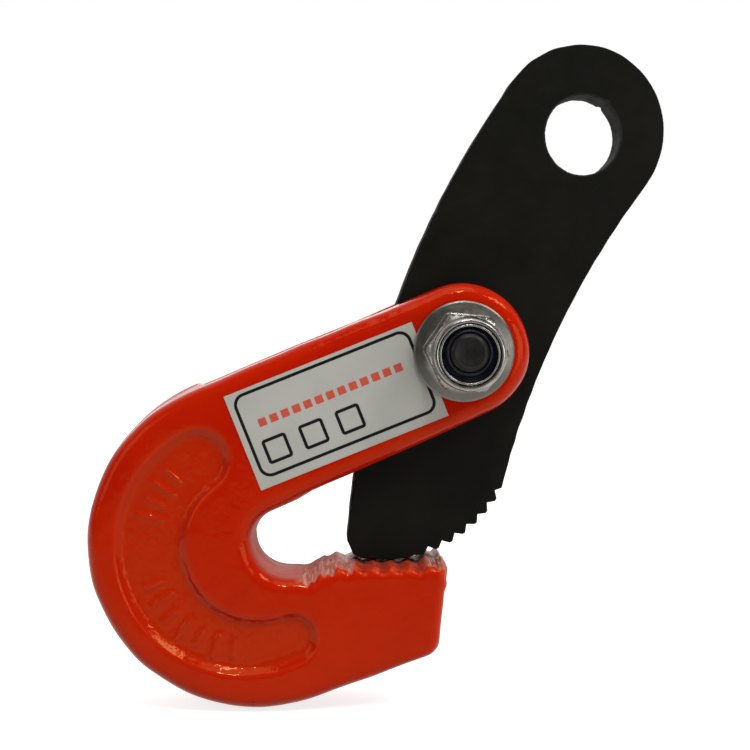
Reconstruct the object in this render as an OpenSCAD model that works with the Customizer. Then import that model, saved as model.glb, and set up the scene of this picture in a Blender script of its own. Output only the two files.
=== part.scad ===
// Plate lifting clamp: a forged hook body with a forked arm, and a steel lever that swings in the
// fork on one bolt. The lever carries the lifting eye at its top and a toothed cam at its foot,
// which closes on the toothed jaw of the hook.
// Millimetres. X runs from the hook's back to its mouth, Y from the nut side to the bolt head side,
// Z up. The origin is the centre of the lifting eye.

/* [Shown] */

// Piece to build, or all of them

/* [Hook body] */

// Thickness of the hook across both cheeks
body_t = 30; // [26:0.5:40]
// Width of the slot between the two cheeks
slot_w = 14; // [10:0.5:18]
// Width of the forked arm
arm_w = 35.4; // [30:0.2:42]
// Slope of the forked arm
arm_slope = 22.5; // [15:0.5:30]
// Distance along the arm from the pivot to the hook's back
arm_len = 68.2; // [60:0.2:80]
// Outer radius of the hook's back
back_r = 43.3; // [40:0.1:48]
// Slope of the underside of the jaw
jaw_slope = 20; // [12:0.5:24]
// How far the jaw's end stands behind the pivot
jaw_back = 4.1; // [0:0.1:8]
// Lean of the jaw's end face
jaw_lean = 5.4; // [0:0.2:8]
// Radius of the jaw's lower corner
jaw_corner_r = 4; // [2:0.5:6]
// Bevel that stands for the forging's edges
edge = 2.5; // [1:0.25:3.5]

/* [Throat] */

// Radius of the throat's lower end
throat_r = 9.2; // [8:0.1:11]
// Radius where the throat meets the arm
throat_top_r = 5.2; // [3:0.1:7]
// Distance from the hook's back to the throat
throat_wall = 41; // [36:0.5:48]
// Height of the jaw's pad above the throat's floor
pad_h = 3.9; // [2:0.1:6]
// Bevel around the throat
throat_edge = 1.5; // [0.5:0.25:2.5]

/* [Jaw teeth] */

// Number of grooves across the jaw
jaw_grooves = 7; // [4:1:9]
// Distance from groove to groove
jaw_pitch = 4.4; // [3.6:0.1:5]
// Depth of a groove
jaw_groove_d = 1.6; // [0.8:0.1:2.2]

/* [Sunk pad] */

// Depth of the sunk pad on both sides of the hook's back
pad_d = 1.2; // [0.5:0.1:2]
// Outer radius of the sunk pad
pad_r = 33.8; // [28:0.2:36]
// Inner radius of the sunk pad
pad_in_r = 18.7; // [16:0.1:22]

/* [Lever] */

// Thickness of the lever
lever_t = 12; // [8:0.5:16]
// Lifting eye to the right of the pivot
eye_x = 32; // [26:0.5:38]
// Lifting eye above the pivot
eye_z = 56.6; // [50:0.2:66]
// Radius of the lifting eye
eye_r = 10.5; // [8:0.1:13]
// Outer radius of the lever around the eye
eye_out_r = 22.3; // [19:0.1:25]
// Radius of the lever's long back edge
lever_back_r = 235.5; // [220:0.5:260]
// Centre of the long back edge, below the pivot
back_edge_drop = 66.8; // [50:0.2:80]
// Radius of the lever's long front edge
lever_front_r = 217.3; // [205:0.5:240]
// Centre of the long front edge, below the pivot
front_edge_drop = 87.8; // [70:0.2:110]
// Width of the lever at the pivot, behind the bolt's axis
lever_behind = 21.1; // [18:0.1:23]
// Width of the lever at the pivot, in front of the bolt's axis
lever_ahead = 23.1; // [19:0.1:26]

/* [Cam] */

// Radius of the toothed arc
cam_r = 35.4; // [32:0.1:38]
// Centre of the toothed arc, behind the pivot
cam_back = 20.4; // [16:0.1:24]
// Centre of the toothed arc, below the pivot
cam_drop = 20.1; // [17:0.1:24]
// Number of teeth
cam_teeth = 11; // [8:1:12]
// Angle from tooth to tooth
cam_pitch = 6.65; // [5.5:0.05:7]
// Angle of the first tooth below level
cam_first = 33.4; // [28:0.2:40]
// Depth of the gaps between teeth
cam_gap_d = 1.5; // [0.8:0.1:2]

/* [Bolt and nut] */

// Diameter of the bolt
bolt_d = 12; // [10:0.5:14]
// Width across flats of bolt head and nut
hex_af = 18; // [16:0.5:22]
// Height of the bolt's head
head_h = 7.5; // [6:0.1:9]
// Diameter of the nut's flange
flange_d = 26; // [22:0.5:30]
// Height of the nut
nut_h = 17.2; // [14:0.1:20]
// Height of the nylon ring in the nut
ring_h = 3.3; // [2.5:0.1:4]
// Wall of the nylon ring
ring_wall = 1.3; // [1:0.1:2]
// Thickness of the nut's lip over the nylon ring
lip_h = 1.3; // [0.8:0.1:2]
// Thickness of the washer under the bolt's head
washer_t = 2.5; // [1.5:0.1:3]
// Outer diameter of the washer
washer_d = 24; // [20:0.5:28]

/* [Label] */

// Length of the label
label_l = 52; // [30:1:56]
// Width of the label
label_w = 26; // [16:1:28]
// Thickness of the label
label_t = 0.2; // [0.1:0.05:0.4]

/* [Clearances] */

// Radial play of the lever on the bolt
pivot_play = 0.08; // [0.02:0.01:0.1]
// Radial play of the bolt in the cheeks
cheek_play = 0.15; // [0.05:0.05:0.5]
// Radial play of the washer on the bolt
washer_play = 0.4; // [0.1:0.1:0.6]
// Gap between the closed teeth
tooth_play = 0.1; // [0.05:0.05:0.3]
// Gap between the lever's foot and the closed end of the slot
slot_play = 5.5; // [2:0.5:8]
// How far the bolt stands out of the nut
bolt_over = 0.3; // [0:0.1:3]

/* [Hidden] */

$fn = 72;
half = arm_w / 2;
mid = body_t / 2;
along = [cos(arm_slope), sin(arm_slope)];
across = [-sin(arm_slope), cos(arm_slope)];
back = -along * arm_len - across * (back_r - half);
under = [cos(jaw_slope), sin(jaw_slope)];
lean = [sin(jaw_lean), cos(jaw_lean)];
cam = [-cam_back, -cam_drop];
crest = cam.y - cam_r - tooth_play;
floor_z = crest - pad_h;
wall_x = back.x - back_r + throat_wall;
throat = [wall_x + throat_r, floor_z + throat_r];
throat_top_x = wall_x + throat_top_r;
throat_top = [throat_top_x, -(half + throat_top_r + throat_top_x * across.x) / across.y];
throat_roof = throat_top + throat_top_r * across;
ramp_a = [throat.x + 6.2, floor_z];
ramp_b = [ramp_a.x + 9.3, crest];
jaw_tip = [-jaw_back, crest];
jaw_start = back + back_r * [under.y, -under.x];
jaw_foot = meet(jaw_start, under, jaw_tip, lean);
jaw_corner = jaw_foot + meet(jaw_corner_r * [-under.y, under.x], under, jaw_corner_r * [-lean.y, lean.x], lean);
end_low = jaw_corner + jaw_corner_r * [lean.y, -lean.x];
under_end = jaw_corner + jaw_corner_r * [under.y, -under.x];
pad_c = back + [-3, -0.6];
pad_in_c = pad_c + [3.3, 0];
eye_c = [eye_x - 0.5, eye_z + 1.2];
back_edge_c = [sqrt(pow(lever_back_r, 2) - pow(back_edge_drop, 2)) - lever_behind, -back_edge_drop];
front_edge_c = [sqrt(pow(lever_front_r, 2) - pow(front_edge_drop, 2)) + lever_ahead, -front_edge_drop];
foot_low = [cam.x - 6.4, crest + 0.8];
foot_high = [cam.x - 9.9, crest + 5.4];
slot_end = norm(foot_low) + slot_play;
bolt_r = bolt_d / 2;
head_z = -mid - washer_t;
bolt_end = mid + nut_h + bolt_over;
hex_h = nut_h - ring_h - lip_h;
collar_r = hex_af / 2 - 0.3;

// Where the line through p along a meets the line through q along b
function meet(p, a, q, b) = p + a * ((q.x - p.x) * b.y - (q.y - p.y) * b.x) / (a.x * b.y - a.y * b.x);
// The point on a circle about c at angle t
function on(c, r, t) = c + r * [cos(t), sin(t)];

// Outlines below are drawn as the clamp is seen from the nut side, with the pivot at 0.

// Triangle that bevels a straight or round edge, on both cheeks
module bevel(c) {
  for (s = [-1, 1])
    scale([1, s])
      polygon([[-c, mid], [0, mid - c], [1, mid - c], [1, mid + 1], [-c, mid + 1]]);
}

// Bevel along the line from p to q, with the open side on its left. It runs on by a and b at its
// ends, where the next bevel is round and lies under it.
module bevel_line(p, q, a = 0, b = 0, c = edge) {
  translate([p.x, p.y, 0])
    rotate([0, 0, atan2(q.y - p.y, q.x - p.x)])
      translate([-a, 0, 0])
        rotate([90, 0, 90])
          linear_extrude(norm(q - p) + a + b)
            bevel(c);
}

// Bevel round an outer corner or end
module bevel_arc(c, r, from, to) {
  translate([c.x, c.y, 0])
    rotate_extrude(angle = to - from, start = from)
      translate([r, 0])
        bevel(edge);
}

// Bevel round the inside of the throat, run on by 4 degrees under the straight ones
module bevel_hollow(c, r, from, to) {
  translate([c.x, c.y, 0])
    rotate_extrude(angle = to - from + 8, start = from - 4)
      translate([r, 0])
        mirror([1, 0])
          bevel(edge);
}

module hook_outline() {
  translate(back)
    circle(back_r);
  circle(half);
  polygon([across * half, across * half - along * arm_len, -across * half - along * arm_len, -across * half]);
  polygon([jaw_start, under_end, jaw_corner, end_low, jaw_tip, jaw_tip - [30, 0], back]);
  translate(jaw_corner)
    circle(jaw_corner_r);
}

module throat_outline() {
  translate(throat)
    circle(throat_r);
  translate(throat_top)
    circle(throat_top_r);
  polygon([
    [throat.x, floor_z],
    ramp_a,
    ramp_b,
    jaw_tip + [6, 0],
    -across * half - along * 9,
    throat_roof,
    throat_top,
    [wall_x, throat_top.y],
    [wall_x, throat.y]
  ]);
}

module jaw_grooves_outline() {
  for (k = [1 : jaw_grooves])
    translate(jaw_tip - [k * jaw_pitch, 0])
      polygon([
        [0, -jaw_groove_d],
        [jaw_pitch / 2, 0.47],
        [-jaw_pitch / 2, 0.47]
      ]);
}

module sunk_pad_outline() {
  a = 119;
  b = 296;
  intersection() {
    difference() {
      translate(pad_c)
        circle(pad_r);
      translate(pad_in_c)
        circle(pad_in_r);
    }
    polygon([pad_c, on(pad_c, 60, a), on(pad_c, 80, 165), on(pad_c, 80, 240), on(pad_c, 60, b)]);
  }
  translate(on(pad_c, pad_r - 8.4, a))
    circle(8.55);
  translate(on(pad_c, pad_r - 6.95, b))
    circle(7.1);
}

module hook_bevels() {
  bevel_arc(back, back_r, 90 + arm_slope, 270 + jaw_slope);
  bevel_line(across * half - along * arm_len, across * half, a = 2, b = 1);
  bevel_arc([0, 0], half, arm_slope - 90, arm_slope + 90);
  bevel_line(-across * half, throat_roof, a = 1);
  bevel_hollow(throat_top, throat_top_r, 90 + arm_slope, 180);
  bevel_line([wall_x, throat_top.y], [wall_x, throat.y]);
  bevel_hollow(throat, throat_r, 180, 270);
  bevel_line([throat.x, floor_z], ramp_a);
  bevel_line(ramp_a, ramp_b, c = throat_edge);
  bevel_line(ramp_b, jaw_tip, b = 1, c = throat_edge);
  bevel_line(jaw_tip, end_low, a = 1, b = 0.6);
  bevel_arc(jaw_corner, jaw_corner_r, jaw_slope - 90, -jaw_lean);
  bevel_line(under_end, jaw_start, a = 0.6, b = 2);
}

module clamp_body() {
  color([0.78, 0.16, 0.05])
    stand()
      difference() {
        linear_extrude(body_t, center = true)
          difference() {
            hook_outline();
            throat_outline();
            jaw_grooves_outline();
          }
        hook_bevels();
        rotate([0, 0, arm_slope])
          translate([-slot_end, -half - 0.5, -slot_w / 2])
            cube([slot_end + half + 2, arm_w + 3, slot_w]);
        cylinder(h = body_t + 2, r = bolt_r + cheek_play, center = true);
        for (s = [-1, 1])
          translate([0, 0, s * mid])
            linear_extrude(2 * pad_d, center = true)
              sunk_pad_outline();
      }
}

module lever_outline() {
  intersection() {
    translate(back_edge_c)
      circle(lever_back_r);
    union() {
      polygon([
        [-2 * cam_r, cam.y - 8],
        [2 * cam_r, cam.y - 8],
        eye_c + 2 * eye_out_r * (front_edge_c - eye_c) / norm(front_edge_c - eye_c),
        eye_c,
        eye_c + 2 * eye_out_r * (eye_c - back_edge_c) / norm(eye_c - back_edge_c)
      ]);
      translate(cam)
        circle(cam_r);
    }
  }
  translate(eye_c)
    circle(eye_out_r);
}

module cam_gaps_outline() {
  reach = cam_r * sin(cam_pitch / 2);
  for (k = [0 : cam_teeth - 1])
    translate(cam)
      rotate(-(cam_first + (k - 0.5) * cam_pitch))
        polygon([[cam_r - cam_gap_d, 0], [cam_r + 0.3, reach], [cam_r + 0.3, -reach]]);
}

module cam_lever() {
  color([0.1, 0.1, 0.09])
    stand()
      linear_extrude(lever_t, center = true)
        difference() {
          lever_outline();
          translate(front_edge_c)
            circle(lever_front_r);
          cam_gaps_outline();
          polygon([foot_high, foot_low, foot_low - [0, 4], foot_high - [6, 10], foot_high - [6, 0]]);
          translate([eye_x, eye_z])
            circle(eye_r);
          circle(bolt_r + pivot_play);
        }
}

// Hexagon with the corners of its outer face rounded off
module hexagon(h, af) {
  intersection() {
    cylinder(h = h, r = af / sqrt(3), $fn = 6);
    union() {
      cylinder(h = h - 1.2, r = af / sqrt(3) + 0.2);
      translate([0, 0, h - 1.2])
        cylinder(h = 1.2, r1 = af / sqrt(3) + 0.2, r2 = af / 2 - 0.1);
    }
  }
}

module pivot_bolt() {
  color([0.25, 0.25, 0.26])
    stand() {
      translate([0, 0, head_z])
        cylinder(h = bolt_end - head_z - 1.2, r = bolt_r);
      translate([0, 0, bolt_end - 1.2])
        cylinder(h = 1.2, r1 = bolt_r, r2 = bolt_r - 1.2);
      translate([0, 0, head_z])
        mirror([0, 0, 1])
          hexagon(head_h, hex_af);
    }
}

module lock_nut() {
  color([0.72, 0.72, 0.7])
    stand()
      translate([0, 0, mid])
        difference() {
          union() {
            cylinder(h = 1.8, r = flange_d / 2);
            translate([0, 0, 1.8])
              cylinder(h = 1.6, r1 = flange_d / 2 - 0.4, r2 = hex_af / 2);
            rotate([0, 0, -3])
              hexagon(hex_h, hex_af);
            cylinder(h = nut_h - 1.4, r = collar_r);
            translate([0, 0, nut_h - 1.4])
              cylinder(h = 1.4, r1 = collar_r, r2 = collar_r - 1.2);
          }
          translate([0, 0, -1])
            cylinder(h = nut_h + 2, r = bolt_r);
          translate([0, 0, hex_h])
            cylinder(h = ring_h + 0.1, r = bolt_r + ring_wall);
          translate([0, 0, nut_h - lip_h])
            cylinder(h = lip_h + 1, r = bolt_r + ring_wall - 0.3);
        }
}

module lock_ring() {
  color([0.05, 0.07, 0.14])
    stand()
      translate([0, 0, mid + hex_h])
        difference() {
          cylinder(h = ring_h, r = bolt_r + ring_wall);
          translate([0, 0, -1])
            cylinder(h = ring_h + 2, r = bolt_r);
        }
}

module head_washer() {
  color([0.6, 0.6, 0.58])
    stand()
      translate([0, 0, head_z])
        difference() {
          cylinder(h = washer_t, r = washer_d / 2);
          translate([0, 0, -1])
            cylinder(h = washer_t + 2, r = bolt_r + washer_play);
        }
}

module inspection_label() {
  color([0.85, 0.85, 0.8])
    stand()
      translate([0, 0, mid])
        linear_extrude(label_t)
          difference() {
            rotate(arm_slope - 1.1)
              translate([-9.7 - label_l, -label_w / 2 - 1])
                square([label_l, label_w]);
            circle(flange_d / 2 + 0.05);
          }
}

// Turns a piece upright, with the lifting eye at the origin
module stand() {
  translate([-eye_x, 0, -eye_z])
    rotate([90, 0, 0])
      children();
}

clamp_body();
cam_lever();
pivot_bolt();
lock_nut();
lock_ring();
head_washer();
inspection_label();
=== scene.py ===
"""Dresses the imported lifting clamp: a forged, painted hook, a flame-cut lever, a flange nut and bolt,
and a paper label, with the camera and the light of the photograph.

Shapes are worked out in millimetres about the pivot bolt, x to the right, y away from the nut, z up,
and go into the frame in metres. Materials, the camera and the lamps are given in metres.
"""

import math

import bpy
import numpy as np
from mathutils import Matrix, Vector
from mathutils.geometry import tessellate_polygon


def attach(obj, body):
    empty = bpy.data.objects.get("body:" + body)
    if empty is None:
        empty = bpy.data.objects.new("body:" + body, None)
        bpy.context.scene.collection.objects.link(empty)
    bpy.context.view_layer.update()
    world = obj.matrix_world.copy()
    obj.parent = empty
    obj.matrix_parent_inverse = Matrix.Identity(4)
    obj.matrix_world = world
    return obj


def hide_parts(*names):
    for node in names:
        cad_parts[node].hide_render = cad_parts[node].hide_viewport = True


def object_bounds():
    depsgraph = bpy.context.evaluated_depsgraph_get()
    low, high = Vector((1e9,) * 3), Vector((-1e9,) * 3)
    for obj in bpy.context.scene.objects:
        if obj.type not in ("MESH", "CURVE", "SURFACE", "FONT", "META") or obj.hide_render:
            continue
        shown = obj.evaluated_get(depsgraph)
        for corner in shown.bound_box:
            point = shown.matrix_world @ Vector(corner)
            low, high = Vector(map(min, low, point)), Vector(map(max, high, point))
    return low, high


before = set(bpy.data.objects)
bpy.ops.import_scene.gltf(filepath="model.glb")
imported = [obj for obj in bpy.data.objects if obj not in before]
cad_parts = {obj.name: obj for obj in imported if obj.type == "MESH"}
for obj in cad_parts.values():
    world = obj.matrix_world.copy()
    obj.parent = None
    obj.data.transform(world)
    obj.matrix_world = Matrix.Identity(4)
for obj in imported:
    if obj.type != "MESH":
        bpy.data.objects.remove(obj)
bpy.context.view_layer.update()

PIVOT = np.array([-32.0, 0.0, -56.6])
SEED = 7


def turn(angle):
    """The unit vector at an angle in degrees."""
    return np.array([math.cos(math.radians(angle)), math.sin(math.radians(angle))])


def meet(p, a, q, b):
    """Where the line through p along a meets the line through q along b."""
    return p + a * ((q[0] - p[0]) * b[1] - (q[1] - p[1]) * b[0]) / (a[0] * b[1] - a[1] * b[0])


# The hook, in millimetres and degrees. Its main sizes are the solids' own; the throat's roof, the
# teeth, the jaw's end and the pad's depth were fitted to the photograph more closely.

# Half the thickness, and what is cut out of it
FACE = 15.0
BORE_R = 6.15
SLOT_HALF = 7.0
SLOT_END = 66.5
SLOT_WIDE = 19.2
DRAFT = math.tan(math.radians(2.6))
EDGE_R = 3.6
EDGE_LESS_AT_JAW = 1.3

# The arm and the round back
ARM_HALF = 17.7
ARM_SLOPE = 22.5
ARM_LEN = 68.2
BACK_R = 43.3
ALONG = turn(ARM_SLOPE)
ACROSS = turn(ARM_SLOPE + 90)
BACK = -ALONG * ARM_LEN - ACROSS * (BACK_R - ARM_HALF)

# The throat: its wall, its round floor, and its round roof below the arm
CREST = -55.6
JAW_RISE = 3.9
FLOOR_Z = CREST - JAW_RISE
THROAT_WALL = 41.0
WALL_X = BACK[0] - BACK_R + THROAT_WALL
THROAT_R = 9.2
THROAT_TOP_R = 5.2
ROOF_R = 8.2
THROAT = np.array([WALL_X + THROAT_R, FLOOR_Z + THROAT_R])
THROAT_TOP_X = WALL_X + THROAT_TOP_R
THROAT_TOP = np.array([THROAT_TOP_X, -(ARM_HALF + THROAT_TOP_R + THROAT_TOP_X * ACROSS[0]) / ACROSS[1]])
FLOOR_END = np.array([THROAT[0] + 6.2, FLOOR_Z])

# The jaw's teeth: whole ones from the jaw's end, then worn ones as points (x, drop below the crest)
TEETH = 6
TOOTH_PITCH = 4.72
TOOTH_DEPTH = 1.1
TOOTH_X = -6.6
LAST_TOOTH_LIFT = 0.75
WORN_TEETH = [(-37.0, 2.2), (-35.6, 1.5), (-34.4, 1.3), (-33.2, 0.45)]

# The jaw's underside, end and lower corner
JAW_SLOPE = 20.0
JAW_LEAN = 5.4
JAW_TIP = np.array([-3.65, CREST])
CORNER_R = 5.4
UNDER = turn(JAW_SLOPE)
LEAN = np.array([math.sin(math.radians(JAW_LEAN)), math.cos(math.radians(JAW_LEAN))])
JAW_START = BACK + BACK_R * turn(JAW_SLOPE - 90)
JAW_FOOT = meet(JAW_START, UNDER, JAW_TIP, LEAN)
CORNER = JAW_FOOT + meet(
    CORNER_R * turn(JAW_SLOPE + 90), UNDER, CORNER_R * np.array([-LEAN[1], LEAN[0]]), LEAN
)

# The sunk pad: a crescent between two circles, with two groups of raised ticks
PAD = BACK + [-3.0, -0.6]
PAD_IN = PAD + [3.3, 0.0]
PAD_R = 33.8
PAD_IN_R = 18.7
PAD_DEPTH = 2.1
PAD_ENDS = [(119.0, 8.4), (296.0, 6.95)]  # the angle and the radius of each end
TICKS = [136.0, 145.0, 154.0, 163.0, 203.0, 213.0, 223.0, 233.0, 243.0, 253.0, 263.0]
TICK_HEIGHT = 0.6
TICK_MIDDLE = 25.9
TICK_HALVES = (2.1, 3.1)
SECOND_GROUP = 215.0

# The grid that the hook is meshed on, per axis: its ends, its coarse and its fine step, and the
# spans that take the fine one
GRID = [
    (-98.6, 19.0, 0.78, 0.45, [(-46.0, -2.0)]),
    (-16.0, 16.0, 0.8, 0.42, [(-16.0, -11.0), (-1.6, 1.6), (5.0, 8.0), (11.0, 16.0)]),
    (-95.2, 19.0, 0.78, 0.45, [(-63.0, -52.0)]),
]
CORNERS = [(i, j, k) for i in (0, 1) for j in (0, 1) for k in (0, 1)]

# The lever, the nut, the bolt's head and the label, in millimetres and degrees

EYE = np.array([32.0, 56.6])
EYE_OVAL = np.array([0.945, 1.0])
EYE_SHIFT = np.array([0.19, 0.0])
NOTCH_ANGLE = 52.0
NOTCH_WIDTH = 0.055
NOTCH_DEPTH = 0.7
CAM_FILL = 1.15
LEVER_WOBBLE = 0.022
LEVER_RINGS = [(6.0, 0.55), (5.86, 0.2), (5.5, 0.0), (-5.5, 0.0), (-5.86, 0.2), (-6.0, 0.55)]  # y, inset

NUT_FLATS = 18.7
NUT_TURN = -4.5
NUT_LEAN = 0.032
NUT_LEAN_FROM = -16.8
FLANGE_R = 12.75
BOLT_FLATS = 18.0
BOLT_TURN = 11.0

LABEL_TILT = 21.7
LABEL_L = 52.0
LABEL_W = 26.0
LABEL_LEFT = -61.7
LABEL_MID = -1.0
LABEL_CLEAR = 12.4
LABEL_LIFTS = (-0.16, 0.02)  # the paper's front and back, off the hook's face


# Arrays and outlines


def smoothstep(low, high, x):
    """0 at low and 1 at high, eased between them. Low may be the larger of the two."""
    t = np.clip((x - low) / (high - low), 0.0, 1.0)
    return t * t * (3.0 - 2.0 * t)


def soft_max(a, b, k):
    """The larger of a and b, rounded over a width of k where they cross."""
    h = np.clip(0.5 + 0.5 * (a - b) / k, 0.0, 1.0)
    return b * (1.0 - h) + a * h + k * h * (1.0 - h)


def ramp(d, width, soft):
    """0 below 0 and 1 above the width, straight between them, with soft ends."""
    return 0.5 + 0.5 * (np.sqrt(d * d + soft * soft) - np.sqrt((d - width) ** 2 + soft * soft)) / width


def inside_corner(a, b, radius):
    """The field where a and b are both negative, with a rounded edge between the two."""
    qx, qy = a + radius, b + radius
    return np.minimum(np.maximum(qx, qy), 0.0) + np.hypot(np.maximum(qx, 0.0), np.maximum(qy, 0.0)) - radius


def arc(centre, radius, start, stop, step=2.0):
    """Points on an arc from start to stop, in degrees."""
    count = max(2, int(abs(stop - start) / step) + 1)
    angles = np.radians(np.linspace(start, stop, count))
    return np.array(centre) + radius * np.c_[np.cos(angles), np.sin(angles)]


def signed_distance(outline, x, z):
    """Distance from a closed outline, negative inside it."""
    best = np.full(x.shape, np.inf)
    inside = np.zeros(x.shape, bool)
    for a, b in zip(outline, np.roll(outline, -1, axis=0)):
        ex, ez = b - a
        wx, wz = x - a[0], z - a[1]
        t = np.clip((wx * ex + wz * ez) / (ex * ex + ez * ez), 0.0, 1.0)
        best = np.minimum(best, (wx - t * ex) ** 2 + (wz - t * ez) ** 2)
        spans = (a[1] <= z) != (b[1] <= z)
        left = (ex * wz - ez * wx > 0) == (b[1] > a[1])
        inside ^= spans & left
    return np.where(inside, -1.0, 1.0) * np.sqrt(best)


def waves(points, longest, shortest, count, seed):
    """A smooth random field of about unit size, made of plane waves."""
    rng = np.random.default_rng(seed)
    total = np.zeros(points[0].shape)
    for _ in range(count):
        way = rng.normal(size=3)
        way *= 2 * math.pi / rng.uniform(shortest, longest) / np.linalg.norm(way)
        phase = rng.uniform(0, 2 * math.pi)
        total = total + np.sin(sum(w * p for w, p in zip(way, points)) + phase)
    return total * math.sqrt(2.0 / count)


def divided(loop, longest):
    """A closed outline with its long edges cut into shorter ones."""
    points = []
    for a, b in zip(loop, np.roll(loop, -1, axis=0)):
        count = max(1, math.ceil(np.linalg.norm(b - a) / longest))
        points += [a + (b - a) * k / count for k in range(count)]
    return np.array(points)


def inset(loop, distance):
    """A closed outline moved to the left of its own direction by a distance."""
    before, after = loop - np.roll(loop, 1, axis=0), np.roll(loop, -1, axis=0) - loop
    before /= np.linalg.norm(before, axis=1)[:, None]
    after /= np.linalg.norm(after, axis=1)[:, None]
    left = np.c_[-(before + after)[:, 1], (before + after)[:, 0]]
    left /= np.linalg.norm(left, axis=1)[:, None]
    along = np.abs(left[:, 0] * -after[:, 1] + left[:, 1] * after[:, 0])
    return loop + left * (distance / np.maximum(along, 0.5))[:, None]


def area(loop):
    """The area inside a closed outline, negative where it runs clockwise."""
    x, z = loop.T
    return 0.5 * np.sum(x * np.roll(z, -1) - z * np.roll(x, -1))


def open_edges(rings):
    """The directed edges of a set of faces that no neighbouring face shares."""
    edges = {}
    for ring in rings:
        for a, b in zip(ring, ring[1:] + ring[:1]):
            if (b, a) in edges:
                del edges[b, a]
            else:
                edges[a, b] = True
    return list(edges)


# The forged hook: one smooth field, negative in the metal


def hook_outline():
    """The hook's outline in x and z: past the pivot, around the throat, over the teeth and the jaw's
    end, and around the back."""
    growth = ROOF_R - THROAT_TOP_R
    roof = THROAT_TOP + [growth + 0.5, -0.668 * growth - 1.5]
    floor = THROAT + [1.3, 1.1]
    teeth = [[x, CREST - drop] for x, drop in WORN_TEETH]
    for k in range(TEETH - 1, -1, -1):
        x = TOOTH_X - TOOTH_PITCH * k
        lift = LAST_TOOTH_LIFT if k == 0 else 0.0
        top, gap = CREST - 0.05 + lift, CREST - TOOTH_DEPTH + lift
        teeth += [[x - 2.35, top], [x - 0.1, gap], [x + 0.1, gap]]
    return np.vstack([
        arc((0, 0), ARM_HALF, 90 + ARM_SLOPE, ARM_SLOPE - 90),
        arc(roof, ROOF_R, 91.6 + ARM_SLOPE, 180),
        arc(floor, THROAT_R + 0.6, 180, 270),
        [FLOOR_END],
        teeth,
        [JAW_TIP + [-1.7, 0.9], JAW_TIP + [0.0, -1.6]],
        arc(CORNER, CORNER_R, -JAW_LEAN, JAW_SLOPE - 90, 8.0),
        arc(BACK, BACK_R, JAW_SLOPE - 90, ARM_SLOPE - 270),
        [ACROSS * ARM_HALF - ALONG * ARM_LEN * 0.5],
    ])


def pad_distance(x, z):
    """Distance from the edge of the crescent-shaped sunk pad, negative inside it."""
    (first, _), (last, _) = PAD_ENDS
    px, pz = x - PAD[0], z - PAD[1]
    ring = np.maximum(np.hypot(px, pz) - PAD_R, PAD_IN_R - np.hypot(x - PAD_IN[0], z - PAD_IN[1]))
    a, b = turn(first), turn(last)
    distance = np.maximum(ring, np.maximum(-(a[0] * pz - a[1] * px), b[0] * pz - b[1] * px))
    for angle, radius in PAD_ENDS:
        centre = PAD + (PAD_R - radius) * turn(angle)
        distance = np.minimum(distance, np.hypot(x - centre[0], z - centre[1]) - radius)
    return distance


def ticks(x, z):
    """Plain raised bars in two groups across the sunk pad, 1 on a bar."""
    px, pz = x - PAD[0], z - PAD[1]
    turned, height = np.degrees(np.arctan2(pz, px)) % 360.0, np.hypot(px, pz)
    total = np.zeros(x.shape)
    for k, angle in enumerate(TICKS):
        off = np.abs((turned - angle + 180.0) % 360.0 - 180.0) * height * math.pi / 180.0
        middle = TICK_MIDDLE + 1.2 * (angle > SECOND_GROUP)
        out = np.hypot(np.maximum(np.abs(height - middle) - TICK_HALVES[k % 2], 0.0), off)
        total = np.maximum(total, smoothstep(0.95, 0.35, out))
    return total


def hook_plan(x, z):
    """What the hook's field needs at each point of the plan: the distance from the outline, the
    radius of the edges and half the thickness."""
    # The forging is fuller than its outline, most at the back, where it also ripples a little
    distance = signed_distance(hook_outline(), x, z)
    distance = distance - 0.25 - 0.75 * smoothstep(-68.0, -92.0, x) - 0.15 * smoothstep(-75.0, -92.0, z)
    ripple = 0.3 * np.cos(4.0 * np.arctan2(z - BACK[1], x - BACK[0]))
    distance = distance - ripple * smoothstep(-62.0, -80.0, x)
    jaw = smoothstep(-62.0, -14.0, x) * smoothstep(-34.0, -50.0, z)
    radius = EDGE_R - EDGE_LESS_AT_JAW * jaw
    slope = 2.0 + 0.2 * smoothstep(-70.0, -86.0, z)
    thickness = FACE - PAD_DEPTH * ramp(-pad_distance(x, z), slope, 0.3) + TICK_HEIGHT * ticks(x, z)
    return distance, radius, thickness


def hook_field(x, y, z, plan):
    """The hook's field: the drafted outline with a parting line, a creased and crowned throat, worn
    teeth and an uneven skin, less the slot for the lever and the bore for the bolt."""
    distance, radius, thickness = plan
    near = np.abs(y)
    jaw_top = smoothstep(-46.0, -40.0, x) * smoothstep(-64.0, -60.0, z) * smoothstep(-46.0, -51.0, z)
    throat = smoothstep(15.0, 11.0, np.hypot(x - THROAT[0], z - THROAT[1]))
    parting = 0.35 * (1.0 - throat) * (1.0 - jaw_top) * np.exp(-((y / 0.8) ** 2))
    crease, crown = 0.35 * np.exp(-(((y - 6.5) / 0.5) ** 2)), 0.8 * (1.0 - (y / FACE) ** 2)
    side = distance + DRAFT * np.maximum(near - 6.0 * jaw_top, 0.0)
    side = side - parting
    side = side + throat * (crease - crown)
    side = side + 0.12 * jaw_top * waves((x, y, z), 5.5, 2.2, 28, SEED)
    side = side + 0.085 * waves((x, y, z), 30.0, 9.0, 20, SEED + 1)
    field = inside_corner(side, near - thickness, radius)
    along, across = x * ALONG[0] + z * ALONG[1], x * ACROSS[0] + z * ACROSS[1]
    slot = inside_corner(-(along + SLOT_END), near - SLOT_HALF, 3.0)
    field = soft_max(field, -np.maximum(slot, np.abs(across - 1.0) - SLOT_WIDE), 0.8)
    return soft_max(field, BORE_R - np.hypot(x, z), 0.6)


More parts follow.
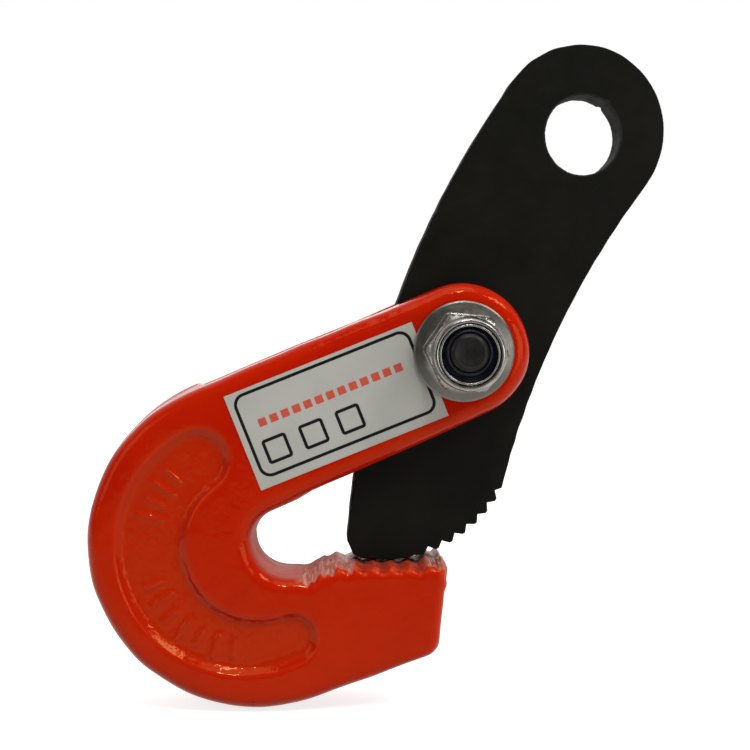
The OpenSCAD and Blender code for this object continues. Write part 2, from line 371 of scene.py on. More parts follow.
def axis(low, high, coarse, fine, spans):
    """Grid lines from low to high, close together inside the spans and coarser elsewhere."""
    marks = sorted({low, high, *[edge for span in spans for edge in span]})
    lines = []
    for a, b in zip(marks, marks[1:]):
        step = fine if any(lo <= a and b <= hi for lo, hi in spans) else coarse
        lines.append(np.linspace(a, b, max(2, round((b - a) / step) + 1))[:-1])
    return np.append(np.concatenate(lines), high)


def surface_net(values, axes):
    """Vertices and quads where a field on a grid crosses zero, with outward faces."""
    inside = values < 0
    shape = tuple(n - 1 for n in values.shape)
    count = np.zeros(shape, np.int8)
    for i, j, k in CORNERS:
        count += inside[i : shape[0] + i, j : shape[1] + j, k : shape[2] + k]
    cells = np.argwhere((count > 0) & (count < 8))
    index = np.full(shape, -1, np.int64)
    index[tuple(cells.T)] = np.arange(len(cells))

    # A cell's vertex is the mean of the crossings on its edges
    total, hits = np.zeros((len(cells), 3)), np.zeros(len(cells))
    for a in CORNERS:
        for d in range(3):
            if a[d]:
                continue
            b = list(a)
            b[d] = 1
            ia, ib = cells + a, cells + b
            va, vb = values[tuple(ia.T)], values[tuple(ib.T)]
            cross = (va < 0) != (vb < 0)
            t = np.where(cross, va / np.where(cross, va - vb, 1.0), 0.0)
            for e in range(3):
                pa, pb = axes[e][ia[:, e]], axes[e][ib[:, e]]
                total[:, e] += np.where(cross, pa + t * (pb - pa), 0.0)
            hits += cross
    vertices = total / hits[:, None]

    # A grid edge that crosses the surface gives one quad, of the four cells around it
    quads = []
    for d in range(3):
        e, f = (d + 1) % 3, (d + 2) % 3
        low, high = [slice(1, -1)] * 3, [slice(1, -1)] * 3
        low[d], high[d] = slice(0, -1), slice(1, None)
        first = inside[tuple(low)]
        found = np.argwhere(first != inside[tuple(high)])
        flip = ~first[tuple(found.T)]
        base = found.copy()
        base[:, e] += 1
        base[:, f] += 1
        ring = []
        for de, df in ((-1, -1), (0, -1), (0, 0), (-1, 0)):
            cell = base.copy()
            cell[:, e] += de
            cell[:, f] += df
            ring.append(index[tuple(cell.T)])
        quad = np.stack(ring, axis=1)
        quad[flip] = quad[flip][:, ::-1]
        quads.append(quad)
    return vertices, np.concatenate(quads)


def sample(array, axes, points):
    """The value of a gridded array at points, by linear interpolation."""
    lower, share = [], []
    for e in range(3):
        i = np.clip(np.searchsorted(axes[e], points[:, e]) - 1, 0, len(axes[e]) - 2)
        lower.append(i)
        share.append((points[:, e] - axes[e][i]) / (axes[e][i + 1] - axes[e][i]))
    total = 0.0
    for i, j, k in CORNERS:
        weight = (share[0] if i else 1 - share[0]) * (share[1] if j else 1 - share[1])
        weight = weight * (share[2] if k else 1 - share[2])
        total = total + weight * array[lower[0] + i, lower[1] + j, lower[2] + k]
    return total


# Objects


def new_object(name, vertices, faces, material, body, node, sharp=None):
    """A mesh piece from millimetres about the pivot, riding on a body in place of a CAD node. Edges that
    turn by more than the sharp angle, in degrees, aren't shaded smooth."""
    mesh = bpy.data.meshes.new(name)
    points = ((np.asarray(vertices) + PIVOT) / 1000.0).tolist()
    mesh.from_pydata(points, [], [list(map(int, f)) for f in faces])
    mesh.polygons.foreach_set("use_smooth", np.ones(len(mesh.polygons), bool))
    if sharp is not None:
        mesh.set_sharp_from_angle(angle=math.radians(sharp))
    mesh.validate()
    mesh.update()
    piece = bpy.data.objects.new(name, mesh)
    bpy.context.collection.objects.link(piece)
    mesh.materials.append(material)
    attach(piece, body)
    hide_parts(node)
    return piece


def add_attributes(piece, **attributes):
    """Gives each vertex of a piece its values, for the materials to read."""
    for name, values in attributes.items():
        attribute = piece.data.attributes.new(name, "FLOAT", "POINT")
        attribute.data.foreach_set("value", np.asarray(values, np.float32))


# Materials. Noise scales are per metre


class Nodes:
    """A material's or a world's node tree, filled one node at a time."""

    def __init__(self, owner, coordinates="Object"):
        owner.use_nodes = True
        self.owner = owner
        self.tree = owner.node_tree
        self.tree.nodes.clear()
        self.coordinates = self.add("ShaderNodeTexCoord").outputs[coordinates]

    def add(self, kind, settings=None, **inputs):
        """A node with its inputs filled, each by its name or, as i0, i1 and so on, by its number."""
        node = self.tree.nodes.new(kind)
        for key, value in (settings or {}).items():
            setattr(node, key, value)
        for key, value in inputs.items():
            numbered = key[0] == "i" and key[1:].isdigit()
            self.put(node.inputs[int(key[1:]) if numbered else key.replace("_", " ")], value)
        return node

    def put(self, socket, value):
        if isinstance(value, bpy.types.NodeSocket):
            self.tree.links.new(value, socket)
        else:
            socket.default_value = value

    def math(self, operation, a, b=0.0):
        return self.add("ShaderNodeMath", {"operation": operation}, i0=a, i1=b).outputs[0]

    def either(self, first, second):
        """The larger of two values."""
        return self.math("MAXIMUM", first, second)

    def added(self, value, extra, share):
        """A value plus a share of another one."""
        return self.math("ADD", value, self.math("MULTIPLY", extra, share))

    def noise(self, scale, detail=4.0, rough=0.5, at=None, distortion=0.0):
        at = at or self.coordinates
        node = self.add("ShaderNodeTexNoise", Vector=at, Scale=scale, Detail=detail, Roughness=rough)
        node.inputs["Distortion"].default_value = distortion
        return node.outputs["Fac"]

    def span(self, value, low, high, to_low=0.0, to_high=1.0):
        """A value's range from low to high, eased, as to_low to to_high."""
        eased = {"interpolation_type": "SMOOTHSTEP"}
        node = self.add("ShaderNodeMapRange", eased, i0=value, i1=low, i2=high, i3=to_low, i4=to_high)
        return node.outputs[0]

    def mix(self, factor, a, b):
        """Colour a where the factor is 0, colour b where it is 1."""
        return self.add("ShaderNodeMix", {"data_type": "RGBA"}, i0=factor, i6=a, i7=b).outputs[2]

    def tinted(self, colour, other, factor, share):
        """A colour mixed with another one by a share of a factor."""
        return self.mix(self.math("MULTIPLY", factor, share), colour, other)

    def stretched(self, x, y, z):
        return self.add("ShaderNodeMapping", Vector=self.coordinates, Scale=(x, y, z)).outputs[0]

    def attribute(self, name):
        return self.add("ShaderNodeAttribute", {"attribute_name": name}).outputs["Fac"]

    def bump(self, height, strength, distance, normal=None):
        node = self.add("ShaderNodeBump", Height=height, Strength=strength, Distance=distance)
        if normal:
            self.put(node.inputs["Normal"], normal)
        return node.outputs[0]

    def finish(self, **inputs):
        """The material, with a Principled shader that takes these inputs."""
        shader = self.add("ShaderNodeBsdfPrincipled", **inputs)
        output = self.add("ShaderNodeOutputMaterial")
        self.tree.links.new(shader.outputs[0], output.inputs[0])
        return self.owner


def material_nodes(name):
    return Nodes(bpy.data.materials.new(name))


def rgb(r, g, b):
    return (r, g, b, 1.0)


def paint_material():
    """Gloss paint over the forging, chipped and scuffed on the jaw's teeth, with painted highlight on its
    edges, painted shade in its creases and under the cam, and painted reflection on worn facets and in the
    throat.
    """
    n = material_nodes("orange_paint_gloss")
    patches = n.noise(55.0, 3.0)
    edge, bare = n.attribute("edge"), n.attribute("bare")
    pad, throat = n.attribute("pad"), n.attribute("throat")

    colour = n.mix(n.span(patches, 0.35, 0.7), rgb(0.44, 0.0095, 0.0006), rgb(0.41, 0.0070, 0.0004))
    # Painted highlight on rounded edges and painted shade in creases, from the surface's curvature
    colour = n.mix(n.span(edge, 0.1, 1.2, 0.0, 0.35), colour, rgb(0.62, 0.06, 0.015))
    colour = n.mix(n.span(edge, -0.1, -1.0, 0.0, 0.6), colour, rgb(0.27, 0.008, 0.001))
    colour = n.tinted(colour, rgb(0.435, 0.0165, 0.0018), pad, 0.85)

    # The painted shade where the cam meets the jaw, then the scuffed teeth with chips down to the steel, a
    # painted reflection on their worn facets and painted shade in fine gaps
    cam_shade = n.math("MULTIPLY", n.attribute("contact"), n.span(patches, 0.25, 0.6, 0.5, 0.75))
    streak = n.noise(1.0, 4.0, 0.6, n.stretched(1500.0, 160.0, 500.0), 0.4)
    worst = n.math("POWER", bare, 4.0)
    chips = n.span(n.added(n.noise(420.0, 5.0, 0.6), bare, 0.17), 0.80, 0.87)
    chips = n.either(chips, n.math("MULTIPLY", worst, n.span(streak, 0.51, 0.61, 0.0, 0.92)))
    # Painted shade: darker red streaks for fine gaps among the scuffs
    gap_shade = n.math("MULTIPLY", worst, n.span(streak, 0.49, 0.41, 0.0, 0.75))
    # Painted shade: near-black where the cam meets the jaw
    colour = n.mix(cam_shade, colour, rgb(0.022, 0.010, 0.008))
    # Partly painted reflection: worn facets tinted pale pink, as they would reflect the white around them,
    # over real wear
    colour = n.tinted(colour, rgb(0.60, 0.28, 0.22), bare, 0.75)
    # Painted reflection: the throat's walls and the jaw's front strip tinted pinkish, as if reflecting the
    # white around them
    colour = n.tinted(colour, rgb(0.32, 0.080, 0.045), throat, 0.45)
    # Painted shade in the fine gaps
    colour = n.mix(gap_shade, colour, rgb(0.16, 0.020, 0.012))
    colour = n.mix(chips, colour, rgb(0.56, 0.50, 0.46))

    rough = n.span(n.noise(160.0, 3.0), 0.3, 0.8, 0.05, 0.14)
    for where, share in ((chips, 0.25), (throat, 0.46), (bare, 0.32), (cam_shade, 0.55)):
        rough = n.added(rough, where, share)
    peel = n.bump(n.noise(900.0, 2.0, 0.4), 0.10, 0.0004)
    peel = n.bump(n.noise(190.0, 3.0), 0.21, 0.0012, peel)
    peel = n.bump(n.math("MULTIPLY", n.noise(340.0, 3.0), pad), 0.3, 0.0010, peel)
    return n.finish(
        Base_Color=colour, Roughness=rough, Normal=peel, IOR=1.5,
        Specular_IOR_Level=0.25, Specular_Tint=rgb(1.0, 0.5, 0.15),
    )


def plate_material():
    """Satin black on the flame-cut lever, worn on its edges, with cut marks across its rim."""
    n = material_nodes("black_plate_satin")
    cloud = n.noise(70.0, 5.0)
    wall = n.attribute("wall")
    colour = n.mix(n.span(cloud, 0.3, 0.75), rgb(0.0045, 0.0044, 0.0031), rgb(0.0067, 0.0063, 0.0046))
    worn = n.math("MULTIPLY", n.attribute("edge"), n.span(n.noise(450.0, 6.0, 0.65), 0.55, 0.8))
    colour = n.mix(worn, colour, rgb(0.045, 0.044, 0.040))
    # Painted light: the eye's wall is made a lighter grey all round, where the black wall would catch light
    eye = n.math("MULTIPLY", n.attribute("bore"), n.span(cloud, 0.3, 0.7, 0.6, 1.0))
    colour = n.mix(eye, colour, rgb(0.031, 0.031, 0.027))
    rough = n.added(n.span(n.noise(210.0, 5.0), 0.3, 0.8, 0.42, 0.62), wall, 0.3)
    cut = n.noise(1.0, 3.0, 0.55, n.stretched(900.0, 60.0, 900.0), 0.2)
    grain = n.bump(n.noise(1400.0, 4.0, 0.6), 0.18, 0.0002)
    grain = n.bump(n.math("MULTIPLY", cut, wall), 0.5, 0.0006, grain)
    return n.finish(Base_Color=colour, Roughness=rough, Normal=grain, Specular_IOR_Level=0.06)


def zinc_material():
    """Bright zinc plating, greyer on the nut's flange."""
    n = material_nodes("zinc_plate")
    skirt = n.attribute("skirt")
    cloud = n.span(n.noise(260.0, 5.0, 0.6), 0.3, 0.75)
    stain = n.span(n.noise(120.0, 6.0, 0.7), 0.55, 0.8)
    colour = n.mix(cloud, rgb(0.20, 0.19, 0.172), rgb(0.32, 0.308, 0.28))
    colour = n.tinted(colour, rgb(0.096, 0.090, 0.077), skirt, 0.8)
    colour = n.tinted(colour, rgb(0.09, 0.08, 0.065), stain, 0.35)
    rough = n.added(n.span(n.noise(700.0, 4.0), 0.3, 0.8, 0.22, 0.34), skirt, 0.08)
    grain = n.bump(n.noise(1100.0, 3.0), 0.03, 0.0002)
    return n.finish(Base_Color=colour, Roughness=rough, Metallic=1.0, Normal=grain)


def bolt_material():
    n = material_nodes("black_oxide_bolt")
    cloud = n.span(n.noise(400.0, 5.0, 0.6), 0.3, 0.8)
    colour = n.mix(cloud, rgb(0.007, 0.006, 0.005), rgb(0.013, 0.012, 0.010))
    rough = n.span(n.noise(900.0, 3.0), 0.3, 0.8, 0.32, 0.5)
    grain = n.bump(n.noise(1800.0, 4.0), 0.15, 0.0002)
    return n.finish(Base_Color=colour, Roughness=rough, Normal=grain, IOR=1.25)


def nylon_material():
    n = material_nodes("nylon_ring")
    cloud = n.span(n.noise(300.0, 2.0), 0.3, 0.7)
    colour = n.mix(cloud, rgb(0.003, 0.004, 0.007), rgb(0.005, 0.007, 0.013))
    rough = n.span(n.noise(500.0, 3.0), 0.3, 0.8, 0.25, 0.4)
    grain = n.bump(n.noise(800.0), 0.1, 0.0002)
    return n.finish(Base_Color=colour, Roughness=rough, Normal=grain, IOR=1.3)


def frame_line(n, u, v, centre, size, corner, width):
    """1 on the line of a rounded rectangle, 0 elsewhere, in metres across and along the label."""
    du = n.math("SUBTRACT", n.math("ABSOLUTE", n.math("SUBTRACT", u, centre[0])), size[0] / 2 - corner)
    dv = n.math("SUBTRACT", n.math("ABSOLUTE", n.math("SUBTRACT", v, centre[1])), size[1] / 2 - corner)
    ou, ov = n.either(du, 0.0), n.either(dv, 0.0)
    out = n.math("SQRT", n.math("ADD", n.math("MULTIPLY", ou, ou), n.math("MULTIPLY", ov, ov)))
    inner = n.math("MINIMUM", n.either(du, dv), 0.0)
    distance = n.math("ABSOLUTE", n.math("SUBTRACT", n.math("ADD", out, inner), corner))
    return n.math("LESS_THAN", distance, width / 2)


def label_material():
    """Paper with a black frame, and plain boxes and red squares where the real label is printed."""
    n = material_nodes("label_paper")
    place = n.add("ShaderNodeSeparateXYZ", Vector=n.coordinates)
    x = n.math("SUBTRACT", place.outputs[0], PIVOT[0] / 1000)
    z = n.math("SUBTRACT", place.outputs[2], PIVOT[2] / 1000)
    tilt = math.radians(LABEL_TILT)
    u = n.math("ADD", n.math("MULTIPLY", x, math.cos(tilt)), n.math("MULTIPLY", z, math.sin(tilt)))
    v = n.math("SUBTRACT", n.math("MULTIPLY", z, math.cos(tilt)), n.math("MULTIPLY", x, math.sin(tilt)))
    left = LABEL_LEFT / 1000
    middle = ((LABEL_LEFT + LABEL_L / 2) / 1000, LABEL_MID / 1000)

    frame_middle = (middle[0] - 0.0001, middle[1] + 0.0007)
    frame_size = ((LABEL_L - 4.0) / 1000, (LABEL_W - 4.0) / 1000)
    black = frame_line(n, u, v, frame_middle, frame_size, 0.0028, 0.00082)
    for k in range(3):
        box = (left + 0.0079 + 0.0101 * k, middle[1] - 0.0044)
        black = n.either(black, frame_line(n, u, v, box, (0.0058, 0.0058), 0.0005, 0.00085))

    start, length, squares = left + 0.0058, 0.0407, 13
    step = n.math("FRACT", n.math("DIVIDE", n.math("SUBTRACT", u, start), length / squares))
    red = n.math("LESS_THAN", n.math("ABSOLUTE", n.math("SUBTRACT", v, middle[1] + 0.0033)), 0.00105)
    red = n.math("MULTIPLY", red, n.math("GREATER_THAN", u, start))
    red = n.math("MULTIPLY", red, n.math("LESS_THAN", u, start + length))
    red = n.math("MULTIPLY", red, n.math("LESS_THAN", step, 0.68))

    cloud = n.span(n.noise(90.0, 3.0), 0.3, 0.7)
    colour = n.mix(cloud, rgb(0.378, 0.374, 0.336), rgb(0.405, 0.402, 0.364))
    colour = n.mix(red, colour, rgb(0.50, 0.075, 0.045))
    colour = n.mix(black, colour, rgb(0.006, 0.006, 0.005))
    rough = n.span(n.noise(200.0), 0.3, 0.7, 0.35, 0.45)
    grain = n.bump(n.noise(2600.0, 3.0), 0.05, 0.0002)
    grain = n.bump(n.noise(120.0, 2.0), 0.10, 0.0012, grain)
    return n.finish(Base_Color=colour, Roughness=rough, Normal=grain, IOR=1.2)


# Pieces


def build_hook(material):
    """The forging, meshed from its field, with the wear, painted shade, painted highlight and painted
    reflection that its paint reads.
    """
    axes = [axis(*line) for line in GRID]
    x, y, z = np.meshgrid(*axes, indexing="ij", sparse=True)
    flat_x, flat_z = np.meshgrid(axes[0], axes[2], indexing="ij")
    field = hook_field(x, y, z, [p[:, None, :] for p in hook_plan(flat_x, flat_z)])
    vertices, quads = surface_net(field, axes)

    # Three steps along the slope bring the vertices onto the surface
    slopes = np.gradient(field, *axes)
    for _ in range(3):
        value = sample(field, axes, vertices)
        slope = np.stack([sample(s, axes, vertices) for s in slopes], axis=1)
        steepness = np.maximum((slope**2).sum(1), 0.2)
        vertices -= np.clip(value / steepness, -0.3, 0.3)[:, None] * slope
    bend = sum(np.gradient(s, axes[e], axis=e) for e, s in enumerate(slopes))

    vx, vy, vz = vertices.T
    depth = np.abs(vy)
    reach = 14.1 + 0.7 * np.sin(vx * 1.9) * np.sin(vx * 0.83 + 1.0)
    top = smoothstep(-44.5, -41.0, vx) * smoothstep(-46.0, -51.0, vz) * smoothstep(reach, reach - 0.6, depth)
    top = top * smoothstep(-62.5, -60.0, vz)
    scuffed = 0.8 * smoothstep(-27.5, -29.0, vx) + smoothstep(-10.5, -8.5, vx) * smoothstep(-4.0, -5.5, vx)
    under_cam = smoothstep(7.5, 6.3, depth) * smoothstep(-30.0, -27.0, vx) * smoothstep(-6.0, -9.0, vx)
    wall = smoothstep(17.0, 13.0, np.hypot(vx - THROAT[0], vz - THROAT[1])) * smoothstep(14.0, 12.5, depth)
    piece = new_object("forged_hook", vertices, quads, material, "clamp_body", "clamp_body")
    # The paint reads these: curvature for painted highlight on edges and painted shade in creases, the
    # scuffed teeth with a painted reflection on them, painted shade where the cam meets the jaw, the sunk
    # pad, and the throat for a painted reflection
    add_attributes(
        piece,
        edge=np.clip(sample(bend, axes, vertices), -2.0, 2.0),
        bare=top * np.maximum(scuffed, 0.25 * smoothstep(6.0, 8.0, vy)),
        contact=top * under_cam,
        pad=smoothstep(0.6, 1.9, FACE - depth) * (pad_distance(vx, vz) < -0.5),
        throat=np.maximum(wall, 0.8 * top * smoothstep(-3.0, -6.0, vy)),
    )


def rim_loops(node):
    """The closed outlines of a CAD plate's front face, in millimetres about the pivot, largest first."""
    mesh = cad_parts[node].data
    points = np.array([v.co for v in mesh.vertices]) * 1000.0 - PIVOT
    keys = [tuple(np.round(p, 3)) for p in points]
    front = points[:, 1].min()
    rings = [[keys[i] for i in polygon.vertices] for polygon in mesh.polygons]
    follow = dict(open_edges(ring for ring in rings if all(abs(k[1] - front) < 1e-2 for k in ring)))
    loops = []
    while follow:
        start, point = next(iter(follow.items()))
        loop = [start]
        del follow[start]
        while point != start:
            loop.append(point)
            point = follow.pop(point)
        loops.append(np.array([(p[0], p[2]) for p in loop]))
    return sorted(loops, key=lambda loop: -np.ptp(loop[:, 0]))


def worn_cam(rim):
    """The lever's rim with the gaps at the cam's foot partly filled and the cam's heel rounded."""
    x, z = rim.T
    gap_shade = (x > -26.0) & (x < -12.0) & (z > -54.3) & (z < -53.0)
    rim = rim - np.c_[np.zeros(len(gap_shade)), CAM_FILL * gap_shade]
    heel = int(np.argmin(np.hypot(rim[:, 0] + 30.2, rim[:, 1] + 50.34)))
    foot_next = rim[(heel + 1) % len(rim)][1] < -54.0
    return np.insert(rim, heel + 1 if foot_next else heel, [-28.8, -53.75], axis=0)


def burnt_eye(loop):
    """The lifting eye, slightly oval, with the notch that the torch left."""
    place = (loop - EYE) * EYE_OVAL + EYE_SHIFT
    angle = np.arctan2(place[:, 1], place[:, 0])
    notch = NOTCH_DEPTH * np.exp(-(((angle - math.radians(NOTCH_ANGLE)) / NOTCH_WIDTH) ** 2))
    return EYE + place + place / np.linalg.norm(place, axis=1)[:, None] * notch[:, None]


def build_lever(material):
    """The plate between two rims: the CAD node's outline, eye and pivot hole, chamfered and uneven."""
    loops = rim_loops("cam_lever")
    loops[0] = worn_cam(loops[0])
    loops = [divided(loop, 1.0) for loop in loops]
    loops = [loop if (area(loop) > 0) == (k == 0) else loop[::-1] for k, loop in enumerate(loops)]
    rng = np.random.default_rng(SEED)
    face = LEVER_RINGS[0][0]
    vertices, faces, walls, bores, caps = [], [], [], [], {face: [], -face: []}
    for k, loop in enumerate(loops):
        if k < 2:
            length = np.cumsum(np.linalg.norm(np.roll(loop, -1, axis=0) - loop, axis=1))
            wobble = sum(
                rng.uniform(0.3, 1.0) * np.sin(2 * math.pi * m * length / length[-1] + rng.uniform(0, 6.3))
                for m in rng.integers(12, 60, 8)
            )
            loop = loop + (inset(loop, 1.0) - loop) * (LEVER_WOBBLE * wobble)[:, None]
        if k == 0:
            shift = 0.4 + -0.5 * smoothstep(36.0, 48.0, loop[:, 0]) * smoothstep(40.0, 55.0, loop[:, 1])
            loop = loop + np.c_[shift, 0.15 * smoothstep(60.0, 75.0, loop[:, 1])]
        if k == 1:
            loop = burnt_eye(loop)
        count = len(loop)
        starts = []
        for y, step in LEVER_RINGS:
            starts.append(len(vertices))
            vertices += [(p[0], -y, p[1]) for p in inset(loop, step)]
            wall = 1.0 if abs(y) < 5.9 else 0.0
            walls += [wall] * count
            bores += [wall if k == 1 else 0.0] * count
        for a, b in zip(starts, starts[1:]):
            for i in range(count):
                j = (i + 1) % count
                faces.append((a + i, b + i, b + j, a + j))
        caps[face].append((starts[0], count))
        caps[-face].append((starts[-1], count))
    for y, rims in caps.items():
        order = [list(range(start, start + count)) for start, count in rims]
        flat = [i for ring in order for i in ring]
        shapes = [[Vector((vertices[i][0], vertices[i][2], 0.0)) for i in ring] for ring in order]
        for triangle in tessellate_polygon(shapes):
            a, b, c = (flat[i] for i in triangle)
            pa, pb, pc = (np.array(vertices[i])[[0, 2]] for i in (a, b, c))
            turned = (pb[0] - pa[0]) * (pc[1] - pa[1]) - (pb[1] - pa[1]) * (pc[0] - pa[0])
            faces.append((a, b, c) if (turned > 0) == (y > 0) else (a, c, b))
    piece = new_object("cut_lever", vertices, faces, material, "lever", "cam_lever", 15)
    depth = np.abs(np.array(vertices)[:, 1])
    add_attributes(piece, edge=smoothstep(5.2, 5.7, depth) * (depth < 5.95), wall=walls, bore=bores)


def lathe(profile, count, shape=None):
    """Vertices and quads of a profile of (radius, y) turned about the pivot's axis. shape(radius, y,
    angles) may change the radii."""
    angles = np.linspace(0, 2 * math.pi, count, endpoint=False)
    vertices, faces = [], []
    for radius, y in profile:
        radii = np.full(count, radius) if shape is None else shape(radius, y, angles)
        vertices += [(r * math.cos(t), y, r * math.sin(t)) for r, t in zip(radii, angles)]
    for i in range(len(profile) - 1):
        for j in range(count):
            k = (j + 1) % count
            faces.append((i * count + j, i * count + k, (i + 1) * count + k, (i + 1) * count + j))
    return vertices, faces


def rounded(points, radius, steps=4):
    """A profile with its corners rounded, apart from its two ends."""
    out = [points[0]]
    for a, b, c in zip(points, points[1:], points[2:]):
        a, b, c = np.array(a, float), np.array(b, float), np.array(c, float)
        la, lc = np.linalg.norm(a - b), np.linalg.norm(c - b)
        r = min(radius, 0.45 * la, 0.45 * lc)
        start, stop = b + (a - b) / la * r, b + (c - b) / lc * r
        for t in np.linspace(0, 1, steps):
            out.append(tuple((1 - t) ** 2 * start + 2 * t * (1 - t) * b + t * t * stop))
    out.append(points[-1])
    return out


def bead(centre, radii, turned, count):
    """A profile's points on a half-round bead, from its outer side over its front."""
    return [
        (centre[0] + radii[0] * math.cos(t), centre[1] - radii[1] * math.sin(t))
        for t in np.linspace(0.0, turned, count)
    ]


def hex_radius(angles, flats, turned):
    """The radius of a hexagon with slightly rounded corners."""
    local = np.mod(angles - math.radians(turned) + math.pi / 6, math.pi / 3) - math.pi / 6
    reach = flats / 2 / np.cos(math.pi / 6 - np.abs(local))
    corner = flats / math.sqrt(3)
    return -soft_max(-reach, np.full(reach.shape, -(corner - 0.18)), 0.35)


def build_nut(material):
    """The flange nut: a round flange whose skirt rises into the hexagon, and a rolled collar."""
    skirt_foot, skirt_top, skirt_slope, hexagon_top = 1.75, 3.6, 4.0, 12.75

    def shape(radius, y, angles):
        height = -y - FACE
        if height <= skirt_foot or height > hexagon_top:
            return np.full(len(angles), radius)
        hexagon = np.minimum(radius, hex_radius(angles, NUT_FLATS, NUT_TURN))
        skirt = FLANGE_R - (height - 1.8) * skirt_slope
        return soft_max(hexagon, np.full(len(angles), skirt), 0.5) if height < skirt_top else hexagon

    outer = [(6.1, -15.0), (12.2, -15.0), (12.85, -15.25), (13.0, -15.9), (12.97, -16.6), (12.8, -16.84)]
    rise = [(FLANGE_R, -FACE - h) for h in np.linspace(1.87, skirt_top, 44)]
    hexagon = [(12.3, -20.5), (12.3, -24.9), (10.75, -26.4), (10.1, -26.95), (9.6, -27.25), (9.3, -27.45)]
    collar = [(9.2, -27.6), (9.2, -30.4)] + bead((8.25, -30.95), (0.95, 1.15), 1.9, 13)
    groove = [(7.8, -31.65), (7.74, -31.4), (7.66, -31.5)]
    lip = bead((7.3, -31.6), (0.34, 0.36), 2.9, 9) + [(6.95, -31.0)]
    inside = [(7.2, -30.9), (7.2, -27.7), (6.1, -27.6), (6.1, -15.0)]
    vertices, faces = lathe(outer + rise + hexagon + collar + groove + lip + inside, 360, shape)

    # The nut leans down from its flange on, but not at its bore
    for i, (x, y, z) in enumerate(vertices):
        outside = min(1.0, max(0.0, (math.hypot(x, z) - 6.1) / 0.85))
        vertices[i] = (x, y, z - NUT_LEAN * max(0.0, NUT_LEAN_FROM - y) * outside)
    piece = new_object("flange_nut", vertices, faces, material, "clamp_body", "lock_nut", 40)
    x, _, z = np.array(vertices).T
    add_attributes(piece, skirt=smoothstep(9.8, 11.0, np.hypot(x, z)))


def build_ring(material):
    profile = [(6.1, -27.7), (7.15, -27.7), (7.15, -30.2), (6.7, -30.35), (6.2, -30.6), (5.75, -31.2)]
    profile += [(5.4, -31.4), (5.1, -31.3), (5.02, -30.8), (6.02, -30.0), (6.1, -27.7)]
    vertices, faces = lathe(rounded(profile, 0.3), 96)
    new_object("nylon_insert", vertices, faces, material, "clamp_body", "lock_ring", 50)


def build_bolt(material):
    """The bolt from the low rim on its front end, over the thread and the shank, to its head."""
    count = 144

    def shape(radius, y, angles):
        if y <= 17.9:
            return np.full(len(angles), radius)
        return np.minimum(radius, hex_radius(angles, BOLT_FLATS, BOLT_TURN))

    front = [(0.4, -32.1), (3.5, -32.12), (3.75, -32.24), (3.95, -32.2), (4.6, -31.75), (4.75, -31.6)]
    front += [(4.9, -30.7), (5.7, -30.3)]
    thread = []
    for k in range(9):
        y = -29.6 + 1.75 * k
        thread += [(5.15, y - 0.45), (5.85, y + 0.3), (5.85, y + 0.5), (5.15, y + 1.2)]
    shank = [(5.98, -14.2), (5.98, 17.2)]
    head = [(8.4, 17.5), (8.6, 17.55), (8.7, 17.9), (12.0, 18.05), (12.0, 23.4), (10.3, 24.3)]
    head += [(9.2, 24.85), (8.5, 25.0), (0.4, 25.0)]
    vertices, faces = lathe(front + thread + shank + head, count, shape)
    last = len(vertices) - count
    faces += [tuple(range(count))[::-1], tuple(range(last, last + count))]
    new_object("pivot_bolt_hex", vertices, faces, material, "clamp_body", "pivot_bolt", 35)


def build_washer(material):
    profile = [(6.4, 15.02), (11.9, 15.02), (12.0, 15.3), (12.0, 17.3), (11.7, 17.5), (6.6, 17.5)]
    profile += [(6.4, 17.3), (6.4, 15.02)]
    vertices, faces = lathe(rounded(profile, 0.25), 128)
    new_object("flat_washer", vertices, faces, material, "clamp_body", "head_washer", 35)


def build_label(material):
    """A sheet of paper that follows the face of the hook and is cut off around the nut's flange."""
    us = np.linspace(LABEL_LEFT, LABEL_LEFT + LABEL_L, 131)
    vs = np.linspace(LABEL_MID - LABEL_W / 2, LABEL_MID + LABEL_W / 2, 66)
    u, v = np.meshgrid(us, vs, indexing="ij")
    a, b = turn(LABEL_TILT)
    x, z = u * a - v * b, u * b + v * a
    distance, radius, thickness = hook_plan(x, z)
    reach = np.clip(distance + DRAFT * FACE + radius, 0.0, radius)
    y = -(thickness - (radius - np.sqrt(radius**2 - reach**2)))

    keep = np.hypot(x, z) > LABEL_CLEAR
    index, vertices = {}, []
    for side, lift in enumerate(LABEL_LIFTS):
        for i, j in np.argwhere(keep):
            index[side, i, j] = len(vertices)
            vertices.append((x[i, j], y[i, j] + lift, z[i, j]))
    cells = [(i, j) for i in range(len(us) - 1) for j in range(len(vs) - 1)]
    rings = [[(i, j), (i + 1, j), (i + 1, j + 1), (i, j + 1)] for i, j in cells]
    rings = [ring for ring in rings if all(keep[p] for p in ring)]
    faces = []
    for ring in rings:
        faces.append([index[(0, *p)] for p in ring])
        faces.append([index[(1, *p)] for p in ring[::-1]])
    for p, q in open_edges(rings):
        faces.append([index[(0, *q)], index[(0, *p)], index[(1, *p)], index[(1, *q)]])
    used = sorted({i for f in faces for i in f})
    renumber = {old: new for new, old in enumerate(used)}
    faces = [[renumber[i] for i in f] for f in faces]
    vertices = [vertices[i] for i in used]
    new_object(
        "paper_label", vertices, faces, material, "clamp_body", "inspection_label", 40
    )


paint, plate, zinc = paint_material(), plate_material(), zinc_material()
build_hook(paint)
build_lever(plate)
build_nut(zinc)
build_ring(nylon_material())
build_bolt(bolt_material())
build_washer(zinc)
build_label(label_material())


# Camera, floor and light, in metres

